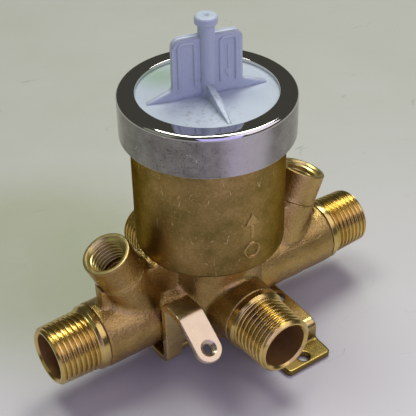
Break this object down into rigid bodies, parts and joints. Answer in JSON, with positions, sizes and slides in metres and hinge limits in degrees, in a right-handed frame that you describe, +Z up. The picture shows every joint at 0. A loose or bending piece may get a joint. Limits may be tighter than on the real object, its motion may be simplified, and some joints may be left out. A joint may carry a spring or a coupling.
{
  "type": "shower valve body",
  "caption": "Cast brass rough-in body of a shower mixing valve with threaded ports, leaning stop bosses, a chromed ring nut over a finned test cap and a folded fixing bracket.",
  "frame": {"origin": "on the bonnet axis, at the surface that the bracket's two feet stand on", "axes": "+Z up along the bonnet axis, +X along the inlets towards the right inlet, +Y along the outlets towards the rear outlet"},
  "size_m": [0.1318, 0.0856, 0.1254],
  "materials": {
    "cast_brass": "shot-blasted casting with turned faces and threads",
    "chrome_plate": "bright plate, satin on the side",
    "cap_plastic": "moulded, slightly translucent",
    "seal_rubber": "smooth",
    "plated_steel": "yellow zinc plate",
    "screw_steel": "zinc plate"
  },
  "bodies": {
    "body": {"valve_hub": "cast_brass", "valve_cup": "cast_brass", "right_inlet_end": "cast_brass", "left_inlet_end": "cast_brass", "front_outlet_end": "cast_brass", "rear_outlet_end": "cast_brass", "right_stop_sleeve": "cast_brass", "left_stop_sleeve": "cast_brass", "bracket_plate": "plated_steel", "front_strap": "plated_steel", "rear_strap": "plated_steel", "front_tab": "plated_steel", "rear_tab": "plated_steel", "front_tongue": "plated_steel", "rear_tongue": "plated_steel", "bracket_screws": "screw_steel"},
    "cap": {"test_cap": "cap_plastic", "cap_o_ring": "seal_rubber"},
    "nut": {"bonnet_nut": "chrome_plate"}
  },
  "joints": [
    {"name": "cap_lift", "type": "slide", "parent": "body", "child": "cap", "axis": [0, 0, 1], "range_m": [0, 0.009]},
    {"name": "nut_turn", "type": "hinge", "parent": "cap", "child": "nut", "pos_m": [0, 0, 0.0925], "axis": [0, 0, 1], "range_deg": [0, 2160]}
  ],
  "couplings": [
    {"joint": "cap_lift", "follows": "nut_turn", "m_per_rad": 0.0002387}
  ]
}
